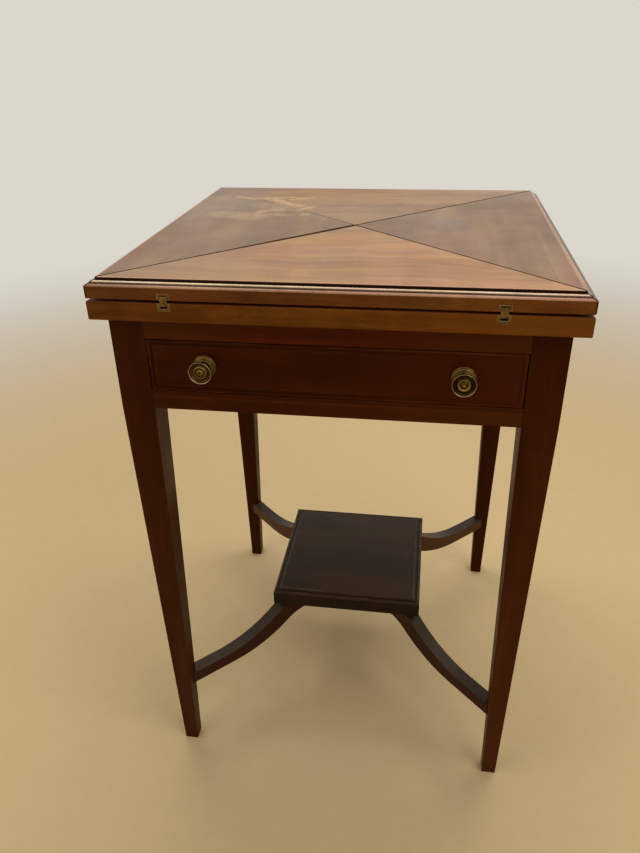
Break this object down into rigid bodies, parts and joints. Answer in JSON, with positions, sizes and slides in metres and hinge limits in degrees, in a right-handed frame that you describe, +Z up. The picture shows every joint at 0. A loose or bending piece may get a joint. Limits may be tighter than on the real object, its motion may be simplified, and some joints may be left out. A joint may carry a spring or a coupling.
{
  "type": "folding card table",
  "caption": "Square envelope card table: the top turns on a pivot and its triangular flaps fold out to a baize playing surface; frieze drawer, tapered legs and an undershelf.",
  "frame": {"origin": "on the floor, under the middle of the square top; the knobs reach 5 mm past its front edge", "axes": "+Z up, -Y towards the drawer front, +X to the right of someone facing the drawer"},
  "size_m": [0.53, 0.535, 0.754],
  "materials": {
    "dark_mahogany": "polished dark red-brown mahogany",
    "mid_mahogany": "polished mid-brown mahogany",
    "pale_mahogany": "polished sun-faded mahogany",
    "secondary_wood": "unpolished planed softwood",
    "aged_brass": "dull aged brass",
    "steel": "dull oiled steel",
    "baize": "worn green wool baize"
  },
  "bodies": {
    "base": {"leg_front_left": "dark_mahogany", "leg_front_right": "dark_mahogany", "leg_back_left": "dark_mahogany", "leg_back_right": "dark_mahogany", "front_top_rail": "dark_mahogany", "front_bottom_rail": "dark_mahogany", "side_rail_left": "dark_mahogany", "side_rail_right": "dark_mahogany", "back_rail": "dark_mahogany", "swivel_bearer": "secondary_wood", "drawer_runner_left": "secondary_wood", "drawer_runner_right": "secondary_wood", "undershelf": "dark_mahogany", "shelf_arm_front_left": "dark_mahogany", "shelf_arm_front_right": "dark_mahogany", "shelf_arm_back_left": "dark_mahogany", "shelf_arm_back_right": "dark_mahogany", "shelf_arm_screws": "steel", "stop_peg": "secondary_wood"},
    "drawer": {"drawer_front": "dark_mahogany", "drawer_cockbead": "dark_mahogany", "drawer_side_left": "secondary_wood", "drawer_side_right": "secondary_wood", "drawer_back": "secondary_wood", "drawer_bottom": "secondary_wood", "knob_left": "aged_brass", "knob_right": "aged_brass", "knob_roses": "aged_brass", "knob_bolts": "steel"},
    "top": {"top_board": "mid_mahogany", "top_baize": "baize", "board_hinge_leaves": "aged_brass", "board_hinge_screws": "aged_brass", "pivot_bolt": "steel", "pivot_washer": "steel", "pivot_nut": "steel"},
    "links_front": {"hinge_links_front": "aged_brass", "hinge_pins_front": "aged_brass"},
    "leaf_front": {"flap_front": "pale_mahogany", "flap_baize_front": "baize", "flap_hinge_leaves_front": "aged_brass", "flap_hinge_screws_front": "aged_brass"},
    "links_right": {"hinge_links_right": "aged_brass", "hinge_pins_right": "aged_brass"},
    "leaf_right": {"flap_right": "pale_mahogany", "flap_baize_right": "baize", "flap_hinge_leaves_right": "aged_brass", "flap_hinge_screws_right": "aged_brass"},
    "links_back": {"hinge_links_back": "aged_brass", "hinge_pins_back": "aged_brass"},
    "leaf_back": {"flap_back": "pale_mahogany", "flap_baize_back": "baize", "flap_hinge_leaves_back": "aged_brass", "flap_hinge_screws_back": "aged_brass"},
    "links_left": {"hinge_links_left": "aged_brass", "hinge_pins_left": "aged_brass"},
    "leaf_left": {"flap_left": "pale_mahogany", "flap_baize_left": "baize", "flap_hinge_leaves_left": "aged_brass", "flap_hinge_screws_left": "aged_brass"}
  },
  "joints": [
    {"name": "top_swivel", "type": "hinge", "parent": "base", "child": "top", "pos_m": [0, 0, 0.7078], "axis": [0, 0, 1], "range_deg": [0, 45]},
    {"name": "drawer_slide", "type": "slide", "parent": "base", "child": "drawer", "axis": [0, -1, 0], "range_m": [0, 0.3]},
    {"name": "link_front", "type": "hinge", "parent": "top", "child": "links_front", "pos_m": [0, -0.2619, 0.7269], "axis": [1, 0, 0], "range_deg": [0, 90]},
    {"name": "flap_front", "type": "hinge", "parent": "links_front", "child": "leaf_front", "pos_m": [0, -0.2619, 0.7353], "axis": [1, 0, 0], "range_deg": [0, 90]},
    {"name": "link_right", "type": "hinge", "parent": "top", "child": "links_right", "pos_m": [0.2619, 0, 0.7269], "axis": [0, 1, 0], "range_deg": [0, 90]},
    {"name": "flap_right", "type": "hinge", "parent": "links_right", "child": "leaf_right", "pos_m": [0.2619, 0, 0.7353], "axis": [0, 1, 0], "range_deg": [0, 90]},
    {"name": "link_back", "type": "hinge", "parent": "top", "child": "links_back", "pos_m": [0, 0.2619, 0.7269], "axis": [-1, 0, 0], "range_deg": [0, 90]},
    {"name": "flap_back", "type": "hinge", "parent": "links_back", "child": "leaf_back", "pos_m": [0, 0.2619, 0.7353], "axis": [-1, 0, 0], "range_deg": [0, 90]},
    {"name": "link_left", "type": "hinge", "parent": "top", "child": "links_left", "pos_m": [-0.2619, 0, 0.7269], "axis": [0, -1, 0], "range_deg": [0, 90]},
    {"name": "flap_left", "type": "hinge", "parent": "links_left", "child": "leaf_left", "pos_m": [-0.2619, 0, 0.7353], "axis": [0, -1, 0], "range_deg": [0, 90]}
  ],
  "couplings": [
    {"joint": "link_front", "follows": "flap_front", "ratio": 1},
    {"joint": "link_right", "follows": "flap_right", "ratio": 1},
    {"joint": "link_back", "follows": "flap_back", "ratio": 1},
    {"joint": "link_left", "follows": "flap_left", "ratio": 1}
  ]
}
